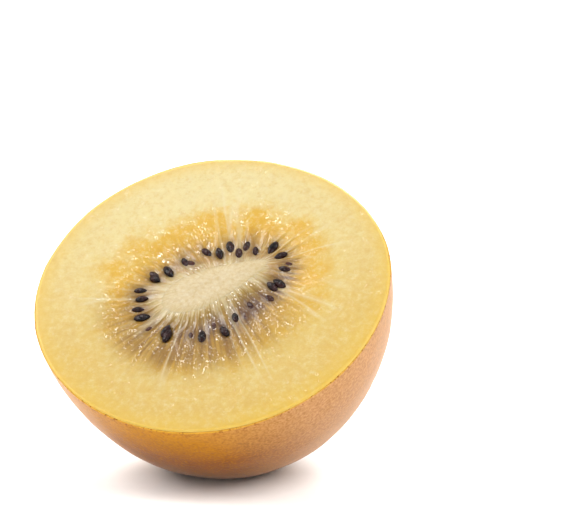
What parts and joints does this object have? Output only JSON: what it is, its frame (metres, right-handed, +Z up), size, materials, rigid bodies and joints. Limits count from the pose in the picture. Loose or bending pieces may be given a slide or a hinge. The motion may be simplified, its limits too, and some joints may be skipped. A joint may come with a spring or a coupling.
{
  "type": "halved golden kiwi fruit",
  "caption": "Half of a golden kiwi fruit, cut across: thin brown peel, yellow flesh, long oval pale core and a ring of dark seeds.",
  "frame": {"origin": "middle of the small flat spot that the fruit rests on, at table height", "axes": "+Z up; +X along the wider side of the cut face; the cut face looks towards -Y and up, 41.6 degrees from level"},
  "size_m": [0.054, 0.0478, 0.0457],
  "materials": {
    "kiwi_skin": "thin golden-brown peel, satin, covered in fine raised specks, with a few dark dots",
    "kiwi_flesh": "wet translucent golden-yellow fruit flesh with fine pale rays",
    "kiwi_core": "pale cream fibrous pith, slightly moist",
    "kiwi_seeds": "glossy purple-black seed coat"
  },
  "bodies": {
    "root": {"skin": "kiwi_skin", "flesh": "kiwi_flesh", "core": "kiwi_core", "seeds": "kiwi_seeds"}
  },
  "joints": []
}
